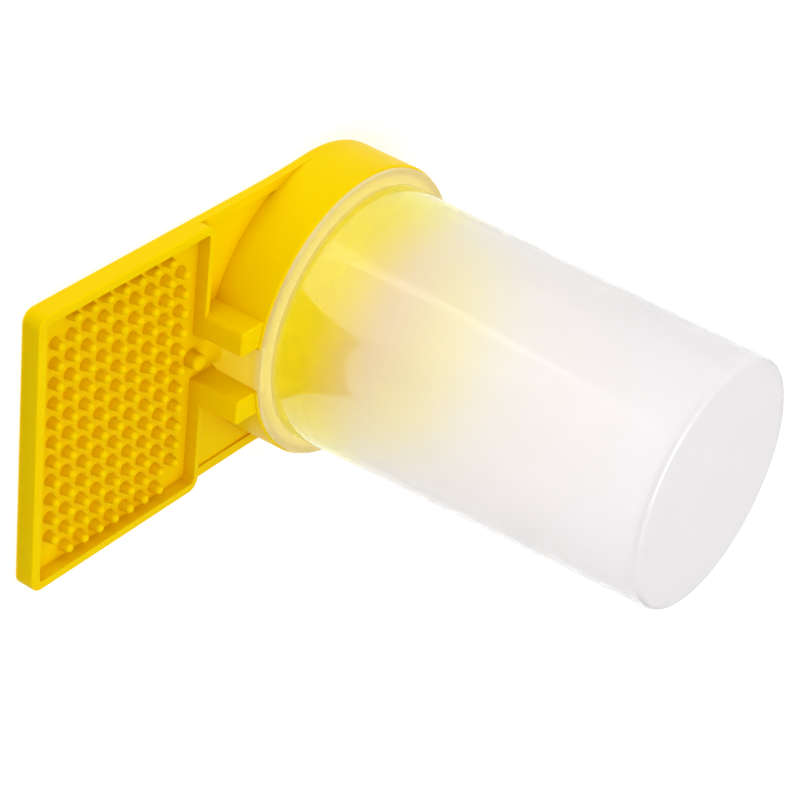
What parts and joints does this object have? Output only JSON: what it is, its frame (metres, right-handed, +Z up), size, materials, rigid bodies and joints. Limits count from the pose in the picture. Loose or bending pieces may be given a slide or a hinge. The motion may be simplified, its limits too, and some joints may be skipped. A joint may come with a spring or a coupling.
{
  "type": "bee water feeder",
  "caption": "Hive-entrance water feeder for bees: a yellow pegged drinking tray with a round well, and an inverted frosted cup that lifts off.",
  "frame": {"origin": "on the well's axis, on the flat underside of the base", "axes": "+Z up along the well and the cup, -X from the well out along the drinking tray, +Y across the tray"},
  "size_m": [0.145, 0.08, 0.1254],
  "materials": {
    "yellow_plastic": "satin gloss, injection moulded",
    "frosted_plastic": "frosted translucent polypropylene"
  },
  "bodies": {
    "base": {"base": "yellow_plastic"},
    "cup": {"cup": "frosted_plastic"}
  },
  "joints": [
    {"name": "cup_lift", "type": "slide", "parent": "base", "child": "cup", "axis": [0, 0, 1], "range_m": [0, 0.03]}
  ]
}
